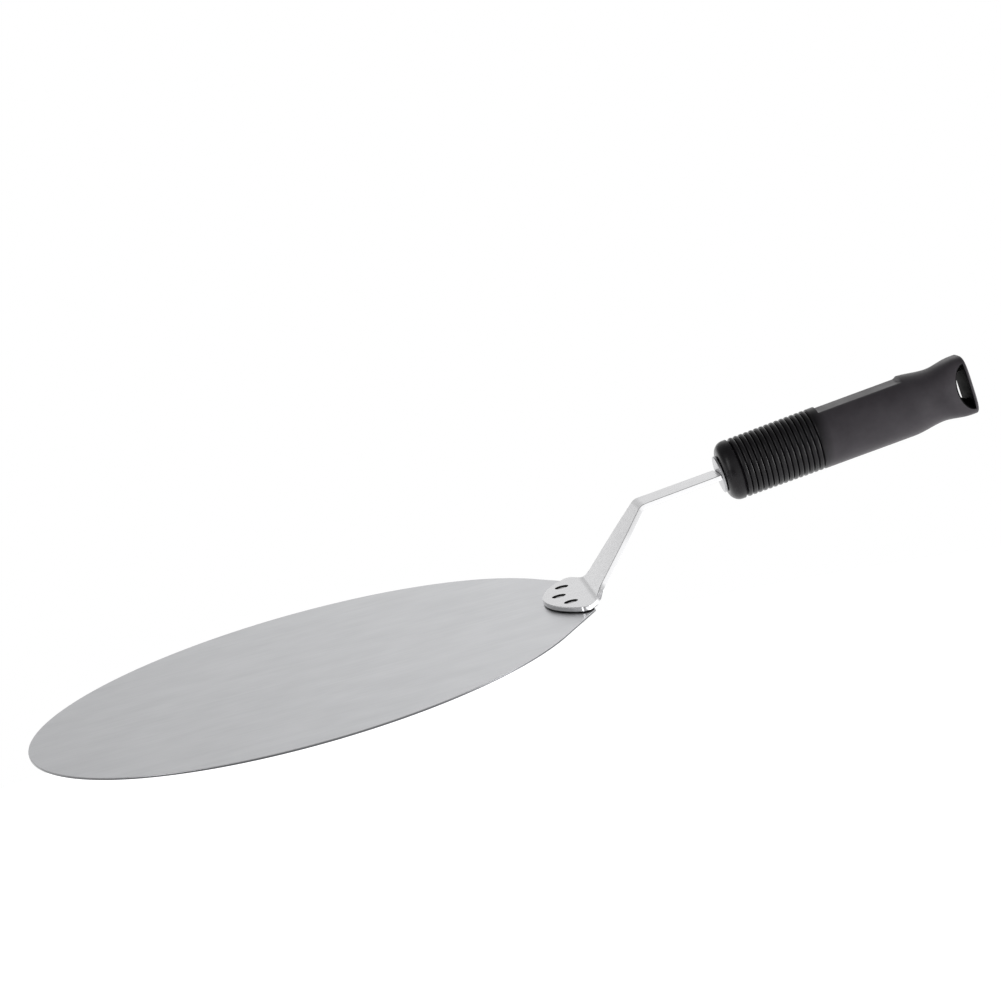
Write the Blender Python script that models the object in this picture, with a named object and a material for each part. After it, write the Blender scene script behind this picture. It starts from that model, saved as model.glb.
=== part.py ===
"""Cake lifter: a thin round steel plate on a cranked steel shank, with a ribbed plastic handle.

Metres, +Z up. The origin is the centre of the plate's underside, and +X points at the handle.
Run it with: blender --background --python part.py
"""

import math

import bmesh
import bpy
from mathutils import Matrix, Vector

FIT_GAP = 0.0003

# Plate: a round sheet, drawn out in tangent lines to a short straight edge under the foot
PLATE_RADIUS = 0.127
PLATE_THICKNESS = 0.0010
PLATE_SEGMENTS = 140
TAB_ANGLE = math.radians(29.0)
TAB_X = 0.1282

# Shank: one strip, cut to an outline and bent twice
STRIP_THICKNESS = 0.0024
FOOT_FRONT_X = 0.1090
CRANK_X = 0.1307
CRANK_ANGLE = math.radians(47.0)
BEND_RADIUS = 0.0045
FAN_RADIUS = 0.045
FAN_HALF_ANGLE = math.radians(40.0)
FAN_CORNER = (0.0159, 0.0347)
FAN_CORNER_RADIUS = 0.0030
NECK_ROOT = (0.0256, 0.0186)
NECK_MIDDLE = (0.0512, 0.0139)
NECK_TOP = (0.0682, 0.0090)
SHOULDER_HALF_WIDTH = 0.0083
TANG_HALF_WIDTH = 0.0045
TANG_LENGTH = 0.076

# Handle axis: where it meets the front disc, and how far it rises from the plate's plane
HANDLE_X = 0.1991
HANDLE_Z = 0.0386
HANDLE_TILT = math.radians(5.5)

# Rivets
RIVET_SPREAD = 0.0162
RIVET_ROW_X = 0.1197
FRONT_RIVET_X = 0.1163
RIVET_HEAD_RADIUS = 0.0029
RIVET_SEAT_DEPTH = 0.0016
RIVET_RECESS = 0.0007
RIVET_SHAFT_RADIUS = 0.0020
RIVET_DOME = 0.00035
RIVET_SEGMENTS = 32

# Front disc and grip, measured along the handle axis from the disc's front face
DISC_RADIUS = 0.0085
DISC_THICKNESS = 0.0012
GRIP_START = DISC_THICKNESS + FIT_GAP
GRIP_END = 0.1196
GRIP_SEGMENTS = 36
NOSE_RADIUS = 0.0087
NOSE_END = 0.0065
COLLAR_END = 0.0079
FIRST_RIB = 0.0103
RIB_PITCH = 0.002432
RIB_COUNT = 15
RIB_DEPTH = 0.0012
BUTT_EDGE_RADIUS = 0.0010
BUTT_EDGE_STEPS = 4
# Each station: distance along the axis, half height, half width, and how square the section is (2 is round)
GRIP_STATIONS = (
    (NOSE_END, 0.0138, 0.0138, 2.0),
    (0.0463, 0.0140, 0.0140, 2.0),
    (0.0890, 0.0141, 0.0141, 2.0),
    (0.1040, 0.0124, 0.0120, 2.2),
    (0.1165, 0.0137, 0.0098, 3.6),
    (GRIP_END, 0.0137, 0.0098, 3.6),
)

# Flat on top of the barrel
FLAT_START = 0.0500
FLAT_END = 0.0900
FLAT_HEIGHT = 0.0121

# Hanging eye: a D-shaped hole through the butt, which flares to a wide mouth on each side
EYE_END = 0.1180
EYE_LENGTH = 0.0047
EYE_HALF_HEIGHT = 0.0064
EYE_MOUTH_Y = 0.0125
EYE_MOUTH_LENGTH = 0.00585
EYE_MOUTH_HALF_HEIGHT = 0.0115
EYE_STEPS = 14


# Scene and material helpers


def clear_scene():
    for obj in list(bpy.data.objects):
        bpy.data.objects.remove(obj, do_unlink=True)


def principled(name, color, roughness, metallic):
    material = bpy.data.materials.new(name)
    material.use_nodes = True
    shader = material.node_tree.nodes["Principled BSDF"]
    shader.inputs["Base Color"].default_value = (*color, 1.0)
    shader.inputs["Roughness"].default_value = roughness
    shader.inputs["Metallic"].default_value = metallic
    material.diffuse_color = (*color, 1.0)
    return material


def object_from(name, bm, material=None, smooth_angle=math.radians(35)):
    """Closes a bmesh into an object whose faces point out."""
    bmesh.ops.recalc_face_normals(bm, faces=bm.faces)
    mesh = bpy.data.meshes.new(name)
    bm.to_mesh(mesh)
    bm.free()
    if material:
        mesh.materials.append(material)
        mesh.shade_smooth()
        mesh.set_sharp_from_angle(angle=smooth_angle)
    obj = bpy.data.objects.new(name, mesh)
    bpy.context.scene.collection.objects.link(obj)
    return obj


def cut(target, cutter):
    """Takes the cutter out of the target, and hides the cutter."""
    modifier = target.modifiers.new("cut_" + cutter.name, "BOOLEAN")
    modifier.operation = "DIFFERENCE"
    modifier.object = cutter
    cutter.hide_render = True
    cutter.display_type = "WIRE"


def hang_on(child, parent):
    """Parents the child so that it keeps the place it was modelled in, in the parent's own frame."""
    child.parent = parent
    child.matrix_parent_inverse = Matrix.Identity(4)


# Shape helpers


def box_mesh(low, high):
    bm = bmesh.new()
    bmesh.ops.create_cube(bm, size=1.0)
    low, high = Vector(low), Vector(high)
    for vert in bm.verts:
        vert.co = [low[k] + (vert.co[k] + 0.5) * (high[k] - low[k]) for k in range(3)]
    return bm


def turned_mesh(profile, segments):
    """A solid turned about Z from (radius, height) pairs that run from the bottom to the top."""
    bm = bmesh.new()
    rings = []
    for radius, height in profile:
        ring = []
        for k in range(segments):
            angle = 2 * math.pi * k / segments
            ring.append(bm.verts.new((radius * math.cos(angle), radius * math.sin(angle), height)))
        rings.append(ring)
    bridge_rings(bm, rings)
    return bm


def bridge_rings(bm, rings):
    """Joins successive rings of vertices with quads, and closes the first and the last with a face."""
    for first, second in zip(rings, rings[1:]):
        count = len(first)
        for k in range(count):
            bm.faces.new((first[k], first[(k + 1) % count], second[(k + 1) % count], second[k]))
    bm.faces.new(rings[0][::-1])
    bm.faces.new(rings[-1])


def rounded(corners, step=math.radians(9)):
    """The polyline through (x, y, radius) corners, with an arc of that radius in place of each one."""
    points = [Vector(corners[0][:2])]
    for before, corner, after in zip(corners, corners[1:], corners[2:]):
        here = Vector(corner[:2])
        back = (Vector(before[:2]) - here).normalized()
        ahead = (Vector(after[:2]) - here).normalized()
        turn = math.pi - back.angle(ahead)
        reach = corner[2] * math.tan(turn / 2)
        centre = here + (back + ahead).normalized() * math.hypot(reach, corner[2])
        start = here + back * reach - centre
        side = math.copysign(1.0, start.y * back.x - start.x * back.y)
        steps = max(2, math.ceil(turn / step))
        for k in range(steps + 1):
            swing = side * turn * k / steps
            points.append(centre + Matrix.Rotation(swing, 2) @ start)
    points.append(Vector(corners[-1][:2]))
    return points


def smoothstep(t):
    return t * t * (3 - 2 * t)


# Plate


def plate_outline():
    """The round edge from one tangent point to the other, then the straight edge under the foot."""
    sweep = 2 * (math.pi - TAB_ANGLE)
    points = []
    for k in range(PLATE_SEGMENTS + 1):
        angle = TAB_ANGLE + sweep * k / PLATE_SEGMENTS
        points.append((PLATE_RADIUS * math.cos(angle), PLATE_RADIUS * math.sin(angle)))
    half_tab = (PLATE_RADIUS - TAB_X * math.cos(TAB_ANGLE)) / math.sin(TAB_ANGLE)
    return points + [(TAB_X, -half_tab), (TAB_X, half_tab)]


def build_plate(material):
    bm = bmesh.new()
    outline = plate_outline()
    bridge_rings(bm, [[bm.verts.new((x, y, z)) for x, y in outline] for z in (0.0, PLATE_THICKNESS)])
    plate = object_from("plate", bm, material)
    for number, place in enumerate(rivet_places()):
        hole = rivet_cutter(f"plate_hole_{number}", RIVET_SHAFT_RADIUS + FIT_GAP, -0.002, 0.003)
        hole.location = place
        cut(plate, hole)
    return plate


# Shank


def foot_middle_z():
    return PLATE_THICKNESS + FIT_GAP + STRIP_THICKNESS / 2


def crank_top():
    """Where the rising run meets the handle axis."""
    rise = math.tan(CRANK_ANGLE)
    lean = math.tan(HANDLE_TILT)
    x = (HANDLE_Z - foot_middle_z() + CRANK_X * rise - HANDLE_X * lean) / (rise - lean)
    return x, foot_middle_z() + (x - CRANK_X) * rise


def shank_path():
    """The strip's middle surface seen from the side: foot, crank, upper run and tang."""
    top_x, top_z = crank_top()
    shoulder = math.hypot(HANDLE_X - top_x, HANDLE_Z - top_z) - FIT_GAP
    length = shoulder + TANG_LENGTH
    end = (top_x + length * math.cos(HANDLE_TILT), top_z + length * math.sin(HANDLE_TILT))
    return rounded([
        (FOOT_FRONT_X, foot_middle_z(), 0.0),
        (CRANK_X, foot_middle_z(), BEND_RADIUS),
        (top_x, top_z, BEND_RADIUS),
        (*end, 0.0),
    ])


def along(points):
    """The running length at each point of a polyline."""
    lengths = [0.0]
    for first, second in zip(points, points[1:]):
        lengths.append(lengths[-1] + (second - first).length)
    return lengths


def blank_outline(length):
    """Half of the flat blank, as (distance from the foot's front, half width) points."""
    shoulder = length - TANG_LENGTH
    arc = []
    arc_steps = 9
    for k in range(1, arc_steps):
        angle = FAN_HALF_ANGLE * k / arc_steps
        arc.append((FAN_RADIUS * (1 - math.cos(angle)), FAN_RADIUS * math.sin(angle), 0.0))
    end_angle = FAN_HALF_ANGLE
    arc_end = (FAN_RADIUS * (1 - math.cos(end_angle)), FAN_RADIUS * math.sin(end_angle))
    outline = rounded([
        (*arc_end, 0.0),
        (*FAN_CORNER, FAN_CORNER_RADIUS),
        (*NECK_ROOT, 0.008),
        (*NECK_MIDDLE, 0.060),
        (*NECK_TOP, 0.030),
        (shoulder, SHOULDER_HALF_WIDTH, 0.0),
    ])
    blunt = [Vector((0.0, FAN_RADIUS * math.sin(FAN_HALF_ANGLE / 40)))]
    tang = [
        Vector((shoulder + 0.0001, TANG_HALF_WIDTH)),
        Vector((length - 0.004, TANG_HALF_WIDTH)),
        Vector((length, TANG_HALF_WIDTH - 0.002)),
    ]
    return blunt + [Vector(point[:2]) for point in arc] + outline + tang


def interpolate(distance, distances, values):
    for k in range(1, len(distances)):
        if distance <= distances[k]:
            share = (distance - distances[k - 1]) / (distances[k] - distances[k - 1])
            return values[k - 1] + (values[k] - values[k - 1]) * share
    return values[-1]


def shank_mesh():
    """Sweeps the blank's width along the bent path, one cross-section at a time."""
    path = shank_path()
    lengths = along(path)
    outline = blank_outline(lengths[-1])
    stations = sorted({round(d, 7) for d in lengths + [point.x for point in outline]})
    widths = [point.y for point in outline]
    distances = [point.x for point in outline]
    bm = bmesh.new()
    rings = []
    for number, distance in enumerate(stations):
        middle = interpolate(distance, lengths, path)
        ahead = interpolate(min(distance + 1e-5, lengths[-1]), lengths, path)
        behind = interpolate(max(distance - 1e-5, 0.0), lengths, path)
        along_path = (ahead - behind).normalized()
        up = Vector((-along_path.y, along_path.x)) * STRIP_THICKNESS / 2
        half = interpolate(distance, distances, widths)
        ring = []
        for side, y in ((-1, -half), (-1, half), (1, half), (1, -half)):
            point = middle + up * side
            ring.append(bm.verts.new((point.x, y, point.y)))
        rings.append(ring)
    bridge_rings(bm, rings)
    return bm


def build_shank(material):
    shank = object_from("shank", shank_mesh(), material)
    head_seat = foot_middle_z() + STRIP_THICKNESS / 2 - RIVET_SEAT_DEPTH
    for number, place in enumerate(rivet_places()):
        hole = rivet_cutter(f"foot_hole_{number}", RIVET_SHAFT_RADIUS + FIT_GAP, -0.001, 0.006)
        seat = rivet_cutter(f"head_seat_{number}", RIVET_HEAD_RADIUS + FIT_GAP, head_seat - FIT_GAP, 0.006)
        for cutter in (hole, seat):
            cutter.location = place
            cut(shank, cutter)
    return shank


# Rivets


def rivet_places():
    return (
        Vector((FRONT_RIVET_X, 0.0, 0.0)),
        Vector((RIVET_ROW_X, RIVET_SPREAD, 0.0)),
        Vector((RIVET_ROW_X, -RIVET_SPREAD, 0.0)),
    )


def rivet_cutter(name, radius, low, high):
    return object_from(name, turned_mesh([(radius, low), (radius, high)], RIVET_SEGMENTS))


def rivet_mesh():
    """Shaft, seated head with a rounded rim, and a low dome that ends just under the foot's face."""
    foot_top = foot_middle_z() + STRIP_THICKNESS / 2
    head_low = foot_top - RIVET_SEAT_DEPTH
    top = foot_top - RIVET_RECESS
    rim = 0.0003
    profile = [
        (RIVET_SHAFT_RADIUS, 0.0002),
        (RIVET_SHAFT_RADIUS, head_low),
        (RIVET_HEAD_RADIUS, head_low),
        (RIVET_HEAD_RADIUS, top - rim),
        (RIVET_HEAD_RADIUS - rim, top),
        (RIVET_HEAD_RADIUS * 0.5, top + RIVET_DOME * 0.7),
        (RIVET_HEAD_RADIUS * 0.15, top + RIVET_DOME),
    ]
    return turned_mesh(profile, RIVET_SEGMENTS)


def build_rivets(material):
    for name, place in zip(("rivet_front", "rivet_left", "rivet_right"), rivet_places()):
        rivet = object_from(name, rivet_mesh(), material)
        rivet.location = place


# Front disc and grip, modelled along +X of the handle axis


def tang_socket(name, start, end, clearance):
    """A cutter for the tang's slot, straight and open at the front."""
    half_width = TANG_HALF_WIDTH + clearance
    half_height = STRIP_THICKNESS / 2 + clearance
    return object_from(name, box_mesh((start, -half_width, -half_height), (end, half_width, half_height)))


def build_front_disc(axis, material):
    rim = 0.0002
    bm = turned_mesh([
        (DISC_RADIUS - rim, 0.0),
        (DISC_RADIUS, rim),
        (DISC_RADIUS, DISC_THICKNESS - rim),
        (DISC_RADIUS - rim, DISC_THICKNESS),
    ], 48)
    bmesh.ops.rotate(bm, cent=(0, 0, 0), matrix=Matrix.Rotation(math.pi / 2, 3, "Y"), verts=bm.verts)
    disc = object_from("front_disc", bm, material)
    slot = tang_socket("disc_slot", -0.002, DISC_THICKNESS + 0.002, FIT_GAP)
    cut(disc, slot)
    for obj in (disc, slot):
        hang_on(obj, axis)


def grip_section(distance):
    """Half height, half width and squareness of the grip at a distance along its axis."""
    for first, second in zip(GRIP_STATIONS, GRIP_STATIONS[1:]):
        if distance <= second[0]:
            share = smoothstep(max(0.0, (distance - first[0]) / (second[0] - first[0])))
            return [a + (b - a) * share for a, b in zip(first[1:], second[1:])]
    return list(GRIP_STATIONS[-1][1:])


def grip_rings():
    """(distance, inset from the section) pairs from the nose to the butt."""
    nose_steps = 5
    for k in range(nose_steps):
        angle = math.pi / 2 * k / nose_steps
        inset = (GRIP_STATIONS[0][1] - NOSE_RADIUS) * (1 - math.sin(angle))
        yield NOSE_END - (NOSE_END - GRIP_START) * math.cos(angle), inset
    yield NOSE_END, 0.0
    yield COLLAR_END, 0.0
    for k in range(RIB_COUNT):
        crest = FIRST_RIB + RIB_PITCH * k
        yield crest - 0.50 * RIB_PITCH, RIB_DEPTH
        yield crest - 0.20 * RIB_PITCH, 0.0
        yield crest + 0.20 * RIB_PITCH, 0.0
    barrel = FIRST_RIB + RIB_PITCH * RIB_COUNT
    yield barrel - 0.50 * RIB_PITCH, RIB_DEPTH
    yield barrel - 0.20 * RIB_PITCH, 0.0
    smooth_steps = 20
    smooth_end = GRIP_END - BUTT_EDGE_RADIUS
    for k in range(1, smooth_steps):
        yield barrel + (smooth_end - barrel) * k / smooth_steps, 0.0
    for k in range(BUTT_EDGE_STEPS + 1):
        angle = math.pi / 2 * k / BUTT_EDGE_STEPS
        yield smooth_end + BUTT_EDGE_RADIUS * math.sin(angle), BUTT_EDGE_RADIUS * (1 - math.cos(angle))


def grip_mesh():
    bm = bmesh.new()
    rings = []
    for distance, inset in grip_rings():
        half_height, half_width, squareness = grip_section(distance)
        ring = []
        for k in range(GRIP_SEGMENTS):
            angle = 2 * math.pi * k / GRIP_SEGMENTS
            side = abs(math.cos(angle)) ** squareness + abs(math.sin(angle)) ** squareness
            reach = side ** (-1 / squareness)
            y = (half_width - inset) * reach * math.cos(angle)
            z = (half_height - inset) * reach * math.sin(angle)
            ring.append(bm.verts.new((distance, y, z)))
        rings.append(ring)
    bridge_rings(bm, rings)
    return bm


def eye_cutter(name):
    """A D lofted through the butt from one mouth, past the narrow middle, to the other mouth."""
    bm = bmesh.new()
    rings = []
    for y, length, half_height in (
        (-EYE_MOUTH_Y, EYE_MOUTH_LENGTH, EYE_MOUTH_HALF_HEIGHT),
        (0.0, EYE_LENGTH, EYE_HALF_HEIGHT),
        (EYE_MOUTH_Y, EYE_MOUTH_LENGTH, EYE_MOUTH_HALF_HEIGHT),
    ):
        ring = []
        for k in range(EYE_STEPS + 1):
            angle = math.pi / 2 + math.pi * k / EYE_STEPS
            x = EYE_END + length * math.cos(angle)
            ring.append(bm.verts.new((x, y, half_height * math.sin(angle))))
        rings.append(ring)
    bridge_rings(bm, rings)
    return object_from(name, bm)


def build_grip(axis, material):
    grip = object_from("grip", grip_mesh(), material)
    flat_low = (FLAT_START, -NOSE_RADIUS, FLAT_HEIGHT)
    flat_high = (FLAT_END, NOSE_RADIUS, FLAT_HEIGHT + 0.004)
    cutters = [
        tang_socket("grip_socket", 0.0, DISC_THICKNESS + TANG_LENGTH + 0.001, FIT_GAP),
        object_from("grip_flat", box_mesh(flat_low, flat_high)),
        eye_cutter("eye"),
    ]
    for cutter in cutters:
        cut(grip, cutter)
    for obj in (grip, *cutters):
        hang_on(obj, axis)


def build():
    clear_scene()
    satin_steel = principled("satin_steel", (0.62, 0.63, 0.65), 0.42, 1.0)
    bright_steel = principled("bright_steel", (0.78, 0.78, 0.79), 0.25, 1.0)
    black_plastic = principled("black_plastic", (0.035, 0.033, 0.037), 0.45, 0.0)
    axis = bpy.data.objects.new("handle_axis", None)
    axis.location = (HANDLE_X, 0.0, HANDLE_Z)
    axis.rotation_euler = (0.0, -HANDLE_TILT, 0.0)
    bpy.context.scene.collection.objects.link(axis)
    build_plate(satin_steel)
    build_shank(bright_steel)
    build_rivets(bright_steel)
    build_front_disc(axis, bright_steel)
    build_grip(axis, black_plastic)


build()
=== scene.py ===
"""Looks of the cake lifter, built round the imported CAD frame. Metres, in the CAD's own axes."""

import math

import bmesh
import bpy
from mathutils import Matrix, Vector


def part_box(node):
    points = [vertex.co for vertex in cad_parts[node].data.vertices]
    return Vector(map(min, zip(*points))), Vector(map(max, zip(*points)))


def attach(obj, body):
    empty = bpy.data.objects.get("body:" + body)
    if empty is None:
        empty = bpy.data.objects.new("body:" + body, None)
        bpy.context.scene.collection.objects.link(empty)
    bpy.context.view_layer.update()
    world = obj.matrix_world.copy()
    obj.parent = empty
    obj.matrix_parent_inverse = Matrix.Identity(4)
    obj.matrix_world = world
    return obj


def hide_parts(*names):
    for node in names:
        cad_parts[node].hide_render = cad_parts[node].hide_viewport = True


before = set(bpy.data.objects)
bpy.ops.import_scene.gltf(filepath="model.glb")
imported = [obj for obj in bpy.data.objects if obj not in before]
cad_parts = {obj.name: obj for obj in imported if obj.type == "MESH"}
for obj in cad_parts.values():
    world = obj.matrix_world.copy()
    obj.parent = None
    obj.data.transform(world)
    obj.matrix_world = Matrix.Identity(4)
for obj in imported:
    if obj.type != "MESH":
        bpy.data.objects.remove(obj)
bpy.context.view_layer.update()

BODY = "root"
PLATE_LOW, PLATE_HIGH = (Vector(corner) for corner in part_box("plate"))
SHANK_LOW, SHANK_HIGH = (Vector(corner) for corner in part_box("shank"))
FIT_GAP = 0.0003

# Painted contact shadow along the joint under the foot. NO_JOINT_Z lies below the whole object, so it draws
# none.
CONTACT_SHADOW_COLOR = (0.02, 0.02, 0.02)
NO_JOINT_Z = -1.0

# Camera
CAMERA_PLACE = (0.04412, -0.95990, 0.22428)
CAMERA_TURN = (79.5647, 13.9539, -5.9584)
CAMERA_LENS = 79.12
SENSOR_WIDTH = 36.0

# Floor
FLOOR_Z = -0.35
FLOOR_RADIUS = 1.4

# Handle axis
HANDLE_X = 0.1991
HANDLE_Z = 0.0386
HANDLE_TILT = math.radians(5.5)

# Plate
PLATE_RADIUS = 0.127
PLATE_SEGMENTS = 420
TAB_ANGLE = math.radians(29.0)
TAB_X = 0.1282
TAB_CORNER_RADIUS = 0.0015
PLATE_EDGE_RADIUS = 0.0003

# Strip
STRIP_THICKNESS = 0.0024
CRANK_X = 0.1307
CRANK_ANGLE = math.radians(47.0)
BEND_RADIUS = 0.0045
FAN_RADIUS = 0.045
FAN_HALF_ANGLE = math.radians(40.0)
FAN_CORNER = (0.0159, 0.0347)
FAN_CORNER_RADIUS = 0.0030
NECK_ROOT = (0.0256, 0.0186)
NECK_MIDDLE = (0.0512, 0.0139)
NECK_TOP = (0.0682, 0.0090)
SHOULDER_HALF_WIDTH = 0.0083
TANG_HALF_WIDTH = 0.0045
TANG_LENGTH = 0.076
STRIP_EDGE_RADIUS = 0.00035

# Rivets
RIVET_HEAD_RADIUS = 0.0029
RIVET_SEAT_DEPTH = 0.0016
RIVET_RECESS = 0.0007
RIVET_SHAFT_RADIUS = 0.0020
RIVET_TAIL_Z = 0.0002
RIVET_RIM = 0.0006
RIVET_RIM_STEPS = 8
RIVET_DOME = 0.00034
RIVET_DOME_STEPS = 10
HOLE_SEGMENTS = 48
RIVET_SEGMENTS = 64
SEAT_GAP = 0.0002
SEAT_LIP = 0.00012

# Disc and grip, along the handle axis from the disc's front face
DISC_RADIUS = 0.0085
DISC_THICKNESS = 0.0012
DISC_SEGMENTS = 96
DISC_RIM = 0.0003
DISC_RIM_STEPS = 4
SLOT_MARGIN = 0.002
GRIP_START = DISC_THICKNESS + FIT_GAP
GRIP_END = 0.1196
GRIP_SEGMENTS = 96
NOSE_RADIUS = 0.0087
NOSE_END = 0.0065
COLLAR_END = 0.0079
FIRST_RIB = 0.0103
RIB_PITCH = 0.002432
RIB_COUNT = 15
RIB_DEPTH = 0.0012
BUTT_EDGE_RADIUS = 0.0010
GRIP_STATIONS = (
    (NOSE_END, 0.0138, 0.0138, 2.0),
    (0.0463, 0.0140, 0.0140, 2.0),
    (0.0890, 0.0141, 0.0141, 2.0),
    (0.1040, 0.0124, 0.0120, 2.2),
    (0.1165, 0.0137, 0.0098, 3.6),
    (GRIP_END, 0.0137, 0.0098, 3.6),
)
FLAT_START = 0.0500
FLAT_END = 0.0900
FLAT_HEIGHT = 0.0121
EYE_END = 0.1180
EYE_STEPS = 48
# Half of the eye's profile, from its middle to past the butt's side. Each row has a share of the butt's half
# width, the length and half height of the D there, and the flare of its lip.
EYE_PROFILE = (
    (0.00, 0.0047, 0.0064, 0.0),
    (0.45, 0.0051, 0.0084, 0.0),
    (0.955, 0.0056, 0.0104, 0.0),
    (0.970, 0.0056, 0.0104, 0.00003),
    (0.985, 0.0056, 0.0104, 0.00013),
    (1.000, 0.0056, 0.0104, 0.00040),
    (1.200, 0.0056, 0.0104, 0.00160),
)


# Mesh helpers


def object_from(name, bm):
    bmesh.ops.recalc_face_normals(bm, faces=bm.faces)
    mesh = bpy.data.meshes.new(name)
    bm.to_mesh(mesh)
    bm.free()
    obj = bpy.data.objects.new(name, mesh)
    bpy.context.scene.collection.objects.link(obj)
    return obj


def cut(target, cutter):
    """Takes the cutter out of the target's mesh and deletes it. Its material goes on the cut faces."""
    modifier = target.modifiers.new("cut", "BOOLEAN")
    modifier.operation = "DIFFERENCE"
    modifier.solver = "EXACT"
    if cutter.data.materials:
        modifier.material_mode = "TRANSFER"
    modifier.object = cutter
    bake_modifiers(target)
    bpy.data.objects.remove(cutter, do_unlink=True)


def bake_modifiers(obj):
    graph = bpy.context.evaluated_depsgraph_get()
    mesh = bpy.data.meshes.new_from_object(obj.evaluated_get(graph))
    obj.modifiers.clear()
    obj.data = mesh


def shade(obj, angle_degrees):
    obj.data.shade_smooth()
    obj.data.set_sharp_from_angle(angle=math.radians(angle_degrees))


def level_normals(obj):
    """Keeps wide flat faces flat, so that only the narrow rounded edges turn the light."""
    modifier = obj.modifiers.new("normals", "WEIGHTED_NORMAL")
    modifier.keep_sharp = True
    bake_modifiers(obj)


def extruded(outline, low, high, edge_radius, edge_steps):
    """A flat blank of the outline between two heights, with its rims rounded, as a bmesh."""
    bm = bmesh.new()
    face = bm.faces.new([bm.verts.new((x, y, low)) for x, y in outline])
    raised = bmesh.ops.extrude_face_region(bm, geom=[face])
    for item in raised["geom"]:
        if isinstance(item, bmesh.types.BMVert):
            item.co.z = high
    bmesh.ops.recalc_face_normals(bm, faces=bm.faces)
    rims = [e for e in bm.edges if abs(e.verts[0].co.z - e.verts[1].co.z) < 1e-6]
    bmesh.ops.bevel(bm, geom=rims, offset=edge_radius, segments=edge_steps, profile=0.5, affect="EDGES")
    return bm


def bridge_rings(bm, rings):
    for first, second in zip(rings, rings[1:]):
        count = len(first)
        for k in range(count):
            bm.faces.new((first[k], first[(k + 1) % count], second[(k + 1) % count], second[k]))
    bm.faces.new(rings[0][::-1])
    bm.faces.new(rings[-1])


def turned(name, profile, segments):
    """A solid turned about Z from (radius, height) pairs that run from the bottom to the top."""
    bm = bmesh.new()
    rings = []
    for radius, height in profile:
        angles = [2 * math.pi * k / segments for k in range(segments)]
        rings.append([bm.verts.new((radius * math.cos(a), radius * math.sin(a), height)) for a in angles])
    bridge_rings(bm, rings)
    return object_from(name, bm)


def box(name, low, high):
    bm = bmesh.new()
    bmesh.ops.create_cube(bm, size=1.0)
    for vert in bm.verts:
        vert.co = [low[k] + (vert.co[k] + 0.5) * (high[k] - low[k]) for k in range(3)]
    return object_from(name, bm)


def rounded(corners, step):
    """The polyline through (x, y, radius) corners, with an arc of that radius in place of each one."""
    points = [Vector(corners[0][:2])]
    for before, corner, after in zip(corners, corners[1:], corners[2:]):
        here = Vector(corner[:2])
        back = (Vector(before[:2]) - here).normalized()
        ahead = (Vector(after[:2]) - here).normalized()
        turn = math.pi - back.angle(ahead)
        reach = corner[2] * math.tan(turn / 2)
        centre = here + (back + ahead).normalized() * math.hypot(reach, corner[2])
        start = here + back * reach - centre
        side = math.copysign(1.0, start.y * back.x - start.x * back.y)
        steps = max(2, math.ceil(turn / step))
        for k in range(steps + 1):
            points.append(centre + Matrix.Rotation(side * turn * k / steps, 2) @ start)
    points.append(Vector(corners[-1][:2]))
    return points


def handle_matrix():
    return Matrix.Translation((HANDLE_X, 0.0, HANDLE_Z)) @ Matrix.Rotation(-HANDLE_TILT, 4, "Y")


# Plate


def plate_outline():
    """The round edge from one tangent point to the other, then the straight edge under the foot."""
    sweep = 2 * (math.pi - TAB_ANGLE)
    angles = [TAB_ANGLE + sweep * k / PLATE_SEGMENTS for k in range(PLATE_SEGMENTS + 1)]
    half_tab = (PLATE_RADIUS - TAB_X * math.cos(TAB_ANGLE)) / math.sin(TAB_ANGLE)
    tab = rounded([
        (PLATE_RADIUS * math.cos(TAB_ANGLE), -PLATE_RADIUS * math.sin(TAB_ANGLE), 0.0),
        (TAB_X, -half_tab, TAB_CORNER_RADIUS),
        (TAB_X, half_tab, TAB_CORNER_RADIUS),
        (PLATE_RADIUS * math.cos(TAB_ANGLE), PLATE_RADIUS * math.sin(TAB_ANGLE), 0.0),
    ], math.radians(6))
    return [(PLATE_RADIUS * math.cos(a), PLATE_RADIUS * math.sin(a)) for a in angles] + tab[1:-1]


def build_plate(material):
    outline = plate_outline()
    plate = object_from("lifter_plate", extruded(outline, PLATE_LOW.z, PLATE_HIGH.z, PLATE_EDGE_RADIUS, 4))
    plate.data.materials.append(material)
    for place in rivet_places():
        radius = RIVET_SHAFT_RADIUS + FIT_GAP
        hole = turned("hole", [(radius, -0.002), (radius, 0.003)], HOLE_SEGMENTS)
        hole.location = place
        bpy.context.view_layer.update()
        cut(plate, hole)
    shade(plate, 40)
    level_normals(plate)
    return plate


# Shank


def foot_middle_z():
    return PLATE_HIGH.z + FIT_GAP + STRIP_THICKNESS / 2


def shank_path():
    """The strip's middle surface seen from the side, and where the upper run meets the disc."""
    rise = math.tan(CRANK_ANGLE)
    lean = math.tan(HANDLE_TILT)
    top_x = (HANDLE_Z - foot_middle_z() + CRANK_X * rise - HANDLE_X * lean) / (rise - lean)
    top_z = foot_middle_z() + (top_x - CRANK_X) * rise
    length = math.hypot(HANDLE_X - top_x, HANDLE_Z - top_z) - FIT_GAP + TANG_LENGTH
    end = (top_x + length * math.cos(HANDLE_TILT), top_z + length * math.sin(HANDLE_TILT))
    return rounded([
        (SHANK_LOW.x, foot_middle_z(), 0.0),
        (CRANK_X, foot_middle_z(), BEND_RADIUS),
        (top_x, top_z, BEND_RADIUS),
        (*end, 0.0),
    ], math.radians(4))


def running_lengths(points):
    lengths = [0.0]
    for first, second in zip(points, points[1:]):
        lengths.append(lengths[-1] + (second - first).length)
    return lengths


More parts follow.
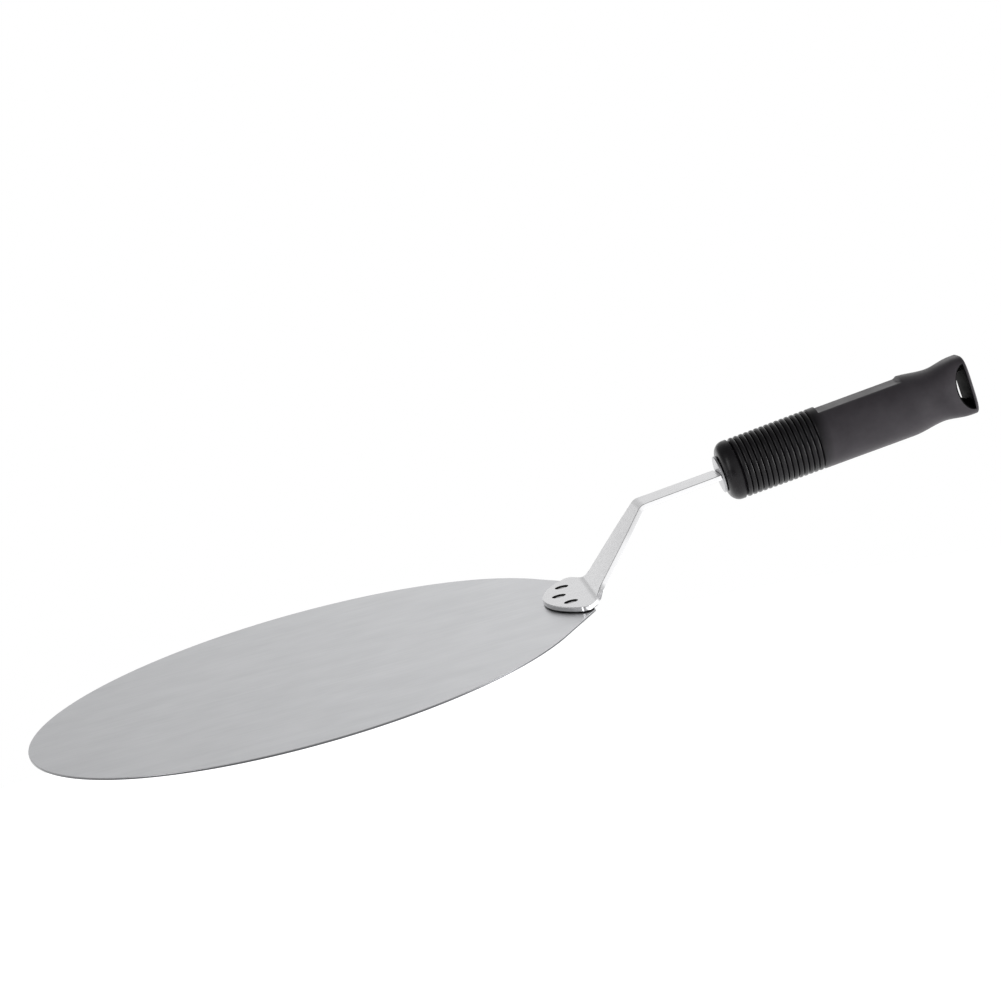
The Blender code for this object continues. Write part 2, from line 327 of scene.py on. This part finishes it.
def blank_outline(length):
    """Half of the flat blank, as (distance from the foot's front, half width) points."""
    shoulder = length - TANG_LENGTH
    arc_steps = 24
    arc = []
    for k in range(arc_steps):
        angle = FAN_HALF_ANGLE * k / arc_steps
        arc.append(Vector((FAN_RADIUS * (1 - math.cos(angle)), FAN_RADIUS * math.sin(angle))))
    end = (FAN_RADIUS * (1 - math.cos(FAN_HALF_ANGLE)), FAN_RADIUS * math.sin(FAN_HALF_ANGLE))
    side = rounded([
        (*end, 0.0),
        (*FAN_CORNER, FAN_CORNER_RADIUS),
        (*NECK_ROOT, 0.008),
        (*NECK_MIDDLE, 0.060),
        (*NECK_TOP, 0.030),
        (shoulder, SHOULDER_HALF_WIDTH, 0.0),
    ], math.radians(5))
    tang = [
        Vector((shoulder, TANG_HALF_WIDTH)),
        Vector((length - 0.004, TANG_HALF_WIDTH)),
        Vector((length, TANG_HALF_WIDTH - 0.002)),
    ]
    return arc + side + tang


def bend_onto(path, lengths, distance, height):
    """The place on the bent strip of a point at a distance along the blank and a height off its middle."""
    last = len(lengths) - 1
    k = next((k for k in range(1, last) if distance <= lengths[k]), last)
    share = (distance - lengths[k - 1]) / (lengths[k] - lengths[k - 1])
    before, after = path[k - 1], path[k]
    middle = before + (after - before) * share

    def tangent(index):
        first, second = path[max(index - 1, 0)], path[min(index + 1, last)]
        return (second - first).normalized()

    ahead = (tangent(k - 1) * (1 - share) + tangent(k) * share).normalized()
    return middle + Vector((-ahead.y, ahead.x)) * height


def build_shank(material, recess_shade_material):
    path = shank_path()
    lengths = running_lengths(path)
    half = blank_outline(lengths[-1])
    right = [(p.x, -p.y) for p in half if p.y > 0]
    left = [(p.x, p.y) for p in reversed(half) if p.y > 0]
    outline = [(0.0, 0.0)] + right + left
    bm = extruded(outline, -STRIP_THICKNESS / 2, STRIP_THICKNESS / 2, STRIP_EDGE_RADIUS, 3)
    for distance in lengths[1:-1]:
        geometry = bm.verts[:] + bm.edges[:] + bm.faces[:]
        bmesh.ops.bisect_plane(bm, geom=geometry, plane_co=(distance, 0, 0), plane_no=(1, 0, 0), dist=1e-6)
    for vert in bm.verts:
        place = bend_onto(path, lengths, vert.co.x, vert.co.z)
        vert.co = (place.x, vert.co.y, place.y)
    shank = object_from("lifter_shank", bm)
    shank.data.materials.append(material)
    top = foot_middle_z() + STRIP_THICKNESS / 2
    seat_low = top - RIVET_SEAT_DEPTH - FIT_GAP
    seat_radius = RIVET_HEAD_RADIUS + SEAT_GAP
    hole_radius = RIVET_SHAFT_RADIUS + FIT_GAP
    for place in rivet_places():
        hole = turned("hole", [(hole_radius, -0.001), (hole_radius, 0.004)], HOLE_SEGMENTS)
        seat = turned("seat", [
            (seat_radius, seat_low),
            (seat_radius, top - SEAT_LIP),
            (seat_radius + SEAT_LIP * 0.3, top - SEAT_LIP * 0.3),
            (seat_radius + SEAT_LIP * 2, top + SEAT_LIP * 0.7),
        ], RIVET_SEGMENTS)
        # The cutters carry the painted-shade material onto the seat and hole walls.
        for cutter in (hole, seat):
            cutter.data.materials.append(recess_shade_material)
            cutter.location = place
            bpy.context.view_layer.update()
            cut(shank, cutter)
    shade(shank, 28)
    level_normals(shank)
    return shank


# Rivets


def rivet_places():
    places = []
    for node in ("rivet_front", "rivet_left", "rivet_right"):
        low, high = (Vector(corner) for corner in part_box(node))
        places.append(Vector(((low.x + high.x) / 2, (low.y + high.y) / 2, 0.0)))
    return places


def build_rivets(material):
    """Rivets with a rolled rim and a low dome, seated under the foot's face."""
    foot_top = foot_middle_z() + STRIP_THICKNESS / 2
    head_low = foot_top - RIVET_SEAT_DEPTH
    top = foot_top - RIVET_RECESS
    flat_radius = RIVET_HEAD_RADIUS - RIVET_RIM
    profile = [
        (RIVET_SHAFT_RADIUS, RIVET_TAIL_Z),
        (RIVET_SHAFT_RADIUS, head_low),
        (RIVET_HEAD_RADIUS, head_low),
        (RIVET_HEAD_RADIUS, top - RIVET_RIM),
    ]
    for k in range(1, RIVET_RIM_STEPS + 1):
        angle = math.pi / 2 * k / RIVET_RIM_STEPS
        profile.append((
            RIVET_HEAD_RADIUS - RIVET_RIM * (1 - math.cos(angle)),
            top - RIVET_RIM + RIVET_RIM * math.sin(angle),
        ))
    for k in range(1, RIVET_DOME_STEPS):
        share = 1 - k / RIVET_DOME_STEPS
        profile.append((flat_radius * share, top + RIVET_DOME * (1 - share * share)))
    rivets = []
    for name, place in zip(("rivet_front", "rivet_left", "rivet_right"), rivet_places()):
        rivet = turned("lifter_" + name, profile, RIVET_SEGMENTS)
        rivet.data.materials.append(material)
        rivet.location = place
        shade(rivet, 40)
        rivets.append((rivet, name))
    return rivets


# Front disc


def tang_socket(name, start, end):
    half_width = TANG_HALF_WIDTH + FIT_GAP
    half_height = STRIP_THICKNESS / 2 + FIT_GAP
    return box(name, (start, -half_width, -half_height), (end, half_width, half_height))


def build_front_disc(material):
    flat_radius = DISC_RADIUS - DISC_RIM
    profile = [(flat_radius, 0.0)]
    for k in range(1, DISC_RIM_STEPS + 1):
        angle = math.pi / 2 * k / DISC_RIM_STEPS
        profile.append((flat_radius + DISC_RIM * math.sin(angle), DISC_RIM - DISC_RIM * math.cos(angle)))
    for k in range(DISC_RIM_STEPS + 1):
        angle = math.pi / 2 * k / DISC_RIM_STEPS
        profile.append((
            flat_radius + DISC_RIM * math.cos(angle),
            DISC_THICKNESS - DISC_RIM + DISC_RIM * math.sin(angle),
        ))
    disc = turned("lifter_front_disc", profile, DISC_SEGMENTS)
    disc.data.transform(Matrix.Rotation(math.pi / 2, 4, "Y"))
    cut(disc, tang_socket("disc_slot", -SLOT_MARGIN, DISC_THICKNESS + SLOT_MARGIN))
    disc.data.materials.append(material)
    disc.data.transform(handle_matrix())
    shade(disc, 35)
    return disc


# Grip


def smoothstep(t):
    return t * t * (3 - 2 * t)


def grip_section(distance):
    for first, second in zip(GRIP_STATIONS, GRIP_STATIONS[1:]):
        if distance <= second[0]:
            share = smoothstep(max(0.0, (distance - first[0]) / (second[0] - first[0])))
            return [a + (b - a) * share for a, b in zip(first[1:], second[1:])]
    return list(GRIP_STATIONS[-1][1:])


def rib_inset(phase):
    """How far the surface lies under the crest, for a phase of -0.5 to 0.5 across one rib."""
    return RIB_DEPTH * (1 - (1 - abs(2 * phase) ** 2.6) ** 0.6)


def grip_rings():
    nose_steps = 12
    for k in range(nose_steps):
        angle = math.pi / 2 * k / nose_steps
        inset = (GRIP_STATIONS[0][1] - NOSE_RADIUS) * (1 - math.sin(angle))
        yield NOSE_END - (NOSE_END - GRIP_START) * math.cos(angle), inset
    yield NOSE_END, 0.0
    yield COLLAR_END, 0.0
    steps = 12
    for k in range(RIB_COUNT):
        for step in range(steps):
            phase = step / steps - 0.5
            yield FIRST_RIB + RIB_PITCH * (k + phase), rib_inset(phase)
    barrel = FIRST_RIB + RIB_PITCH * (RIB_COUNT - 0.5)
    yield barrel, RIB_DEPTH
    for k in range(1, 6):
        phase = 0.5 * k / 5
        yield barrel + RIB_PITCH * phase, rib_inset(0.5 - phase)
    yield FLAT_START, 0.0
    yield FLAT_START + 0.00015, 0.0
    smooth_end = GRIP_END - BUTT_EDGE_RADIUS
    smooth_steps = 80
    for k in range(1, smooth_steps):
        yield FLAT_START + (smooth_end - FLAT_START) * k / smooth_steps, 0.0
    for k in range(9):
        angle = math.pi / 2 * k / 8
        yield smooth_end + BUTT_EDGE_RADIUS * math.sin(angle), BUTT_EDGE_RADIUS * (1 - math.cos(angle))


def eye_cutter():
    """The eye's D, lofted from side to side along lines that follow the butt's rounded sides."""
    butt_height, butt_width, squareness = GRIP_STATIONS[-1][1:]
    bm = bmesh.new()
    rings = []
    stations = [(-share, *rest) for share, *rest in reversed(EYE_PROFILE[1:])] + list(EYE_PROFILE)
    for share, length, half_height, flare in stations:
        end = EYE_END + flare * 0.5
        angles = [math.pi / 2 + math.pi * k / EYE_STEPS for k in range(EYE_STEPS + 1)]
        places = [
            (end + (length + flare * 1.5) * math.cos(a), (half_height + flare) * math.sin(a)) for a in angles]
        places += [(end, (half_height + flare) * (2 * k / EYE_STEPS - 1)) for k in range(1, EYE_STEPS)]
        ring = []
        for x, z in places:
            side = butt_width * (1 - (abs(z) / butt_height) ** squareness) ** (1 / squareness)
            if abs(share) > EYE_PROFILE[-2][0]:
                side = max(side, butt_width * 0.95)
            ring.append(bm.verts.new((x, share * side, z)))
        rings.append(ring)
    bridge_rings(bm, rings)
    return object_from("eye", bm)


def build_grip(material, recess_shade_material):
    bm = bmesh.new()
    rings = []
    for distance, inset in grip_rings():
        half_height, half_width, squareness = grip_section(distance)
        ring = []
        for k in range(GRIP_SEGMENTS):
            angle = 2 * math.pi * k / GRIP_SEGMENTS
            side = abs(math.cos(angle)) ** squareness + abs(math.sin(angle)) ** squareness
            reach = side ** (-1 / squareness)
            y = (half_width - inset) * reach * math.cos(angle)
            z = (half_height - inset) * reach * math.sin(angle)
            if FLAT_START < distance < FLAT_END:
                z = min(z, FLAT_HEIGHT)
            ring.append(bm.verts.new((distance, y, z)))
        rings.append(ring)
    bridge_rings(bm, rings)
    grip = object_from("lifter_grip", bm)
    grip.data.materials.append(material)
    cut(grip, tang_socket("grip_socket", 0.0, DISC_THICKNESS + TANG_LENGTH + 0.001))
    eye = eye_cutter()
    # The eye's cut faces take the painted-shade plastic.
    eye.data.materials.append(recess_shade_material)
    cut(grip, eye)
    grip.data.transform(handle_matrix())
    shade(grip, 40)
    return grip


# Materials


def node_material(name):
    material = bpy.data.materials.new(name)
    material.use_nodes = True
    nodes = material.node_tree.nodes
    return material, nodes, material.node_tree.links, nodes["Principled BSDF"]


def noise(nodes, links, coords, scale, stretch, detail=3.0, roughness=0.5):
    """A noise texture over object coordinates, stretched along the axes with small factors."""
    mapping = nodes.new("ShaderNodeMapping")
    mapping.inputs["Scale"].default_value = stretch
    links.new(coords, mapping.inputs["Vector"])
    texture = nodes.new("ShaderNodeTexNoise")
    texture.inputs["Scale"].default_value = scale
    texture.inputs["Detail"].default_value = detail
    texture.inputs["Roughness"].default_value = roughness
    links.new(mapping.outputs["Vector"], texture.inputs["Vector"])
    return texture.outputs["Fac"]


def remap(nodes, links, value, low, high, from_low=0.3, from_high=0.7):
    node = nodes.new("ShaderNodeMapRange")
    node.inputs["From Min"].default_value = from_low
    node.inputs["From Max"].default_value = from_high
    node.inputs["To Min"].default_value = low
    node.inputs["To Max"].default_value = high
    links.new(value, node.inputs["Value"])
    return node.outputs["Result"]


def blend_values(nodes, links, factor, first, second):
    """Mixes two values, either of which is a socket or a number."""
    node = nodes.new("ShaderNodeMix")
    for socket, value in ((node.inputs["A"], first), (node.inputs["B"], second)):
        if isinstance(value, float):
            socket.default_value = value
        else:
            links.new(value, socket)
    links.new(factor, node.inputs["Factor"])
    return node.outputs["Result"]


def upright(nodes, links, normal):
    """1 where the surface stands upright, and 0 where it lies flat or slopes."""
    split = nodes.new("ShaderNodeSeparateXYZ")
    links.new(normal, split.inputs["Vector"])
    size = nodes.new("ShaderNodeMath")
    size.operation = "ABSOLUTE"
    links.new(split.outputs["Z"], size.inputs[0])
    return remap(nodes, links, size.outputs["Value"], 1.0, 0.0, 0.20, 0.45)


def blend_colors(nodes, links, factor, first, second):
    """Mixes two colours, either of which is a socket or three numbers."""
    node = nodes.new("ShaderNodeMix")
    node.data_type = "RGBA"
    for name, value in (("A", first), ("B", second)):
        if isinstance(value, tuple):
            node.inputs[name].default_value = (*value, 1.0)
        else:
            links.new(value, node.inputs[name])
    links.new(factor, node.inputs["Factor"])
    return node.outputs["Result"]


def bump(nodes, links, shader, value, strength, distance):
    node = nodes.new("ShaderNodeBump")
    node.inputs["Strength"].default_value = strength
    node.inputs["Distance"].default_value = distance
    links.new(value, node.inputs["Height"])
    links.new(node.outputs["Normal"], shader.inputs["Normal"])


def steel(name, dark, light, roughness, grain, bump_strength, edge_finish_and_shade_color, edge_roughness, joint_z):
    """Stainless steel: streaks along X and soft mottling on its flats, an edge colour on its upright faces
    (polished finish when light, painted shade when dark), and a painted contact shadow along the joint at the
    height joint_z."""
    material, nodes, links, shader = node_material(name)
    texture = nodes.new("ShaderNodeTexCoord")
    coords = texture.outputs["Object"]
    streaks = noise(nodes, links, coords, grain, (0.02, 1.0, 1.0), 4.0, 0.6)
    mottle = noise(nodes, links, coords, 60.0, (0.6, 1.0, 1.0), 4.0, 0.55)
    edge = upright(nodes, links, texture.outputs["Normal"])
    color = blend_colors(nodes, links, remap(nodes, links, mottle, 0.0, 1.0), dark, light)
    height = nodes.new("ShaderNodeSeparateXYZ")
    links.new(coords, height.inputs["Vector"])
    # Painted contact shadow: the colour turns near black just above joint_z, where the foot sits on the
    # plate.
    contact_shadow = remap(nodes, links, height.outputs["Z"], 1.0, 0.0, joint_z + 0.0003, joint_z + 0.0006)
    # Upright faces take the edge colour: a polished finish on the bright steel, painted shade on the satin
    # plate's rim and hole walls.
    edge_finish_and_shade = blend_colors(nodes, links, edge, color, edge_finish_and_shade_color)
    links.new(blend_colors(nodes, links, contact_shadow, edge_finish_and_shade, CONTACT_SHADOW_COLOR), shader.inputs["Base Color"])
    flat_roughness = remap(nodes, links, streaks, roughness - 0.04, roughness + 0.06)
    links.new(blend_values(nodes, links, edge, flat_roughness, edge_roughness), shader.inputs["Roughness"])
    shader.inputs["Metallic"].default_value = 1.0
    bump(nodes, links, shader, streaks, bump_strength, 0.00002)
    return material


def plain_steel(name, dark, light, roughness):
    """Polished or dull steel whose colour and gloss change in small patches."""
    material, nodes, links, shader = node_material(name)
    coords = nodes.new("ShaderNodeTexCoord").outputs["Object"]
    patches = noise(nodes, links, coords, 400.0, (1.0, 1.0, 1.0), 3.0, 0.5)
    color = blend_colors(nodes, links, remap(nodes, links, patches, 0.0, 1.0), dark, light)
    links.new(color, shader.inputs["Base Color"])
    links.new(remap(nodes, links, patches, roughness * 0.8, roughness * 1.2), shader.inputs["Roughness"])
    shader.inputs["Metallic"].default_value = 1.0
    return material


def eye_shade_plastic():
    """Painted shade inside the hanging eye: the plastic there is made nearly black, with a weak sheen."""
    material, nodes, links, shader = node_material("black_plastic_eye_shade")
    coords = nodes.new("ShaderNodeTexCoord").outputs["Object"]
    patches = noise(nodes, links, coords, 300.0, (1.0, 1.0, 1.0), 3.0, 0.5)
    shade_of_black = remap(nodes, links, patches, 0.0, 1.0)
    color = blend_colors(nodes, links, shade_of_black, (0.002, 0.002, 0.002), (0.005, 0.0045, 0.0055))
    links.new(color, shader.inputs["Base Color"])
    links.new(remap(nodes, links, patches, 0.65, 0.75), shader.inputs["Roughness"])
    shader.inputs["Specular IOR Level"].default_value = 0.05
    return material


def black_plastic():
    """Charcoal moulded plastic with a fine spark-eroded grain, glossier on its ribs, where painted shade also
    makes it darker.
    """
    material, nodes, links, shader = node_material("black_plastic")
    coords = nodes.new("ShaderNodeTexCoord").outputs["Object"]
    grain = noise(nodes, links, coords, 2600.0, (1.0, 1.0, 1.0), 2.0, 0.5)
    patches = noise(nodes, links, coords, 90.0, (1.0, 1.0, 1.0), 4.0, 0.6)
    split = nodes.new("ShaderNodeSeparateXYZ")
    links.new(coords, split.inputs["Vector"])
    ribs_end = HANDLE_X + FLAT_START
    smooth = remap(nodes, links, split.outputs["X"], 0.0, 1.0, ribs_end - 0.004, ribs_end + 0.001)
    shade_of_black = remap(nodes, links, patches, 0.0, 1.0)
    # Painted shade: over the ribs the colour is several times darker than on the rest of the grip.
    ribs_painted_shade = blend_colors(nodes, links, shade_of_black, (0.004, 0.0036, 0.0044), (0.008, 0.0072, 0.0086))
    plain = blend_colors(nodes, links, shade_of_black, (0.026, 0.023, 0.027), (0.038, 0.034, 0.039))
    links.new(blend_colors(nodes, links, smooth, ribs_painted_shade, plain), shader.inputs["Base Color"])
    gloss = blend_values(nodes, links, smooth, 0.30, remap(nodes, links, patches, 0.38, 0.48))
    links.new(gloss, shader.inputs["Roughness"])
    shader.inputs["Specular IOR Level"].default_value = 0.2
    bump(nodes, links, shader, grain, 0.12, 0.00003)
    return material


def floor_material():
    material, _, _, shader = node_material("floor_white")
    shader.inputs["Base Color"].default_value = (0.95, 0.95, 0.95, 1.0)
    shader.inputs["Roughness"].default_value = 0.9
    shader.inputs["Emission Color"].default_value = (1.0, 1.0, 1.0, 1.0)
    shader.inputs["Emission Strength"].default_value = 0.7
    return material


# Stage


def place_camera():
    data = bpy.data.cameras.new("camera")
    data.lens = CAMERA_LENS
    data.sensor_width = SENSOR_WIDTH
    data.clip_end = 50.0
    camera = bpy.data.objects.new("camera", data)
    camera.location = CAMERA_PLACE
    camera.rotation_euler = [math.radians(angle) for angle in CAMERA_TURN]
    bpy.context.scene.collection.objects.link(camera)
    bpy.context.scene.camera = camera


def softbox(name, place, aim, size, power):
    data = bpy.data.lights.new(name, "AREA")
    data.shape = "RECTANGLE"
    data.size, data.size_y = size
    data.energy = power
    light = bpy.data.objects.new(name, data)
    light.location = place
    light.rotation_euler = (Vector(aim) - Vector(place)).to_track_quat("-Z", "Y").to_euler()
    bpy.context.scene.collection.objects.link(light)


def light_room():
    """A white room, brighter on the right, with a dark wall low down at the left front and a dim ceiling."""
    world = bpy.data.worlds.new("room")
    bpy.context.scene.world = world
    world.use_nodes = True
    nodes, links = world.node_tree.nodes, world.node_tree.links
    background = nodes["Background"]
    split = nodes.new("ShaderNodeSeparateXYZ")
    links.new(nodes.new("ShaderNodeTexCoord").outputs["Generated"], split.inputs["Vector"])
    x, y, z = (split.outputs[axis] for axis in "XYZ")
    back_high = remap(nodes, links, x, 0.27, 1.42, -0.5, 0.4)
    back = blend_values(nodes, links, remap(nodes, links, z, 0.0, 1.0, 0.06, 0.18), 1.42, back_high)
    front_low = remap(nodes, links, x, 0.05, 1.05, -0.35, -0.08)
    front = blend_values(nodes, links, remap(nodes, links, z, 0.0, 1.0, 0.02, 0.25), front_low, 0.75)
    walls = blend_values(nodes, links, remap(nodes, links, y, 0.0, 1.0, -0.25, 0.15), front, back)
    ceiling = blend_values(nodes, links, remap(nodes, links, z, 0.0, 1.0, 0.55, 0.95), walls, 0.25)
    seen = nodes.new("ShaderNodeLightPath").outputs["Is Camera Ray"]
    links.new(blend_values(nodes, links, seen, ceiling, 1.0), background.inputs["Strength"])
    background.inputs["Color"].default_value = (1.0, 1.0, 1.0, 1.0)
    centre = (0.1, 0.0, 0.05)
    softbox("key", (-1.6, -0.8, 0.7), centre, (0.7, 1.4), 10.0)
    softbox("edge", (1.6, -0.45, -0.1), (0.31, 0.0, 0.05), (0.4, 0.8), 14.0)


def lay_floor():
    """A white round table top, whose edge can't be told from the white room."""
    floor = turned("floor", [(FLOOR_RADIUS, FLOOR_Z - 0.02), (FLOOR_RADIUS, FLOOR_Z)], 128)
    floor.data.materials.append(floor_material())


def finish_piece(piece, node):
    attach(piece, BODY)
    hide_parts(node)


def build():
    scene = bpy.context.scene
    scene.view_settings.view_transform = "Standard"
    # The satin plate's near-black edge colour is painted shade along its upright rim and hole walls.
    satin = steel(
        "satin_steel", (0.52, 0.525, 0.54), (0.57, 0.575, 0.59), roughness=0.34, grain=900.0,
        bump_strength=0.15, edge_finish_and_shade_color=(0.10, 0.10, 0.105), edge_roughness=0.35, joint_z=NO_JOINT_Z)
    # The bright steel paints a contact shadow along the foot's joint with the plate.
    bright = steel(
        "bright_steel", (0.56, 0.56, 0.57), (0.60, 0.60, 0.61), roughness=0.26, grain=1200.0,
        bump_strength=0.08, edge_finish_and_shade_color=(0.92, 0.92, 0.93), edge_roughness=0.16,
        joint_z=PLATE_HIGH.z + FIT_GAP)
    polished = plain_steel("polished_steel", (0.30, 0.30, 0.31), (0.36, 0.36, 0.37), 0.30)
    riveted = plain_steel("rivet_steel", (0.24, 0.24, 0.25), (0.34, 0.34, 0.35), 0.26)
    # Painted shade: near-black steel for the cut walls of the rivet seats and holes in the foot.
    recess_shade = plain_steel("painted_shade_steel", (0.02, 0.02, 0.02), (0.04, 0.04, 0.04), 0.5)
    finish_piece(build_plate(satin), "plate")
    finish_piece(build_shank(bright, recess_shade), "shank")
    for rivet, node in build_rivets(riveted):
        finish_piece(rivet, node)
    finish_piece(build_front_disc(polished), "front_disc")
    finish_piece(build_grip(black_plastic(), eye_shade_plastic()), "grip")
    lay_floor()
    light_room()
    place_camera()


build()
